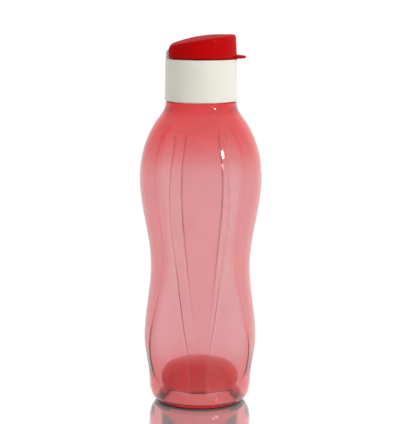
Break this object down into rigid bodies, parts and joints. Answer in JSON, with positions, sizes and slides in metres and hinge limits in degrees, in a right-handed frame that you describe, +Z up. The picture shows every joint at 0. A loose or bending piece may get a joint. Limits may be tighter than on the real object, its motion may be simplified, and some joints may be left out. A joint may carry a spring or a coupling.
{
  "type": "drinking bottle with a screw cap and flip lid",
  "caption": "Tinted waisted drinking bottle with recessed side panels, a white screw cap, a drinking spout and a hinged flip lid.",
  "frame": {"origin": "centre of the foot ring, on the surface the bottle stands on", "axes": "+Z up along the bottle, +X towards the lid's thumb tab, hinge on the -X side, -Y towards the front panel"},
  "size_m": [0.0802, 0.0802, 0.2423],
  "materials": {
    "tinted_plastic": "clear plastic tinted red, glossy",
    "silicone": "matt translucent white silicone",
    "white_plastic": "smooth moulded white, satin gloss",
    "pin_steel": "drawn wire",
    "red_plastic": "glossy moulded red",
    "red_silicone": "satin red silicone"
  },
  "bodies": {
    "bottle": {"bottle_body": "tinted_plastic"},
    "seal": {"neck_gasket": "silicone"},
    "cap": {"screw_cap": "white_plastic", "hinge_pin": "pin_steel"},
    "lid": {"flip_lid": "red_plastic", "spout_stopper": "red_silicone"}
  },
  "joints": [
    {"name": "cap_lift", "type": "slide", "parent": "bottle", "child": "seal", "axis": [0, 0, 1], "range_m": [0, 0.026]},
    {"name": "cap_turn", "type": "hinge", "parent": "seal", "child": "cap", "pos_m": [0, 0, 0.2105], "axis": [0, 0, 1], "range_deg": [0, 1170]},
    {"name": "lid_flip", "type": "hinge", "parent": "cap", "child": "lid", "pos_m": [-0.01955, 0, 0.22988], "axis": [0, -1, 0], "range_deg": [0, 105]}
  ],
  "couplings": [
    {"joint": "cap_lift", "follows": "cap_turn", "m_per_rad": 0.0012732}
  ]
}
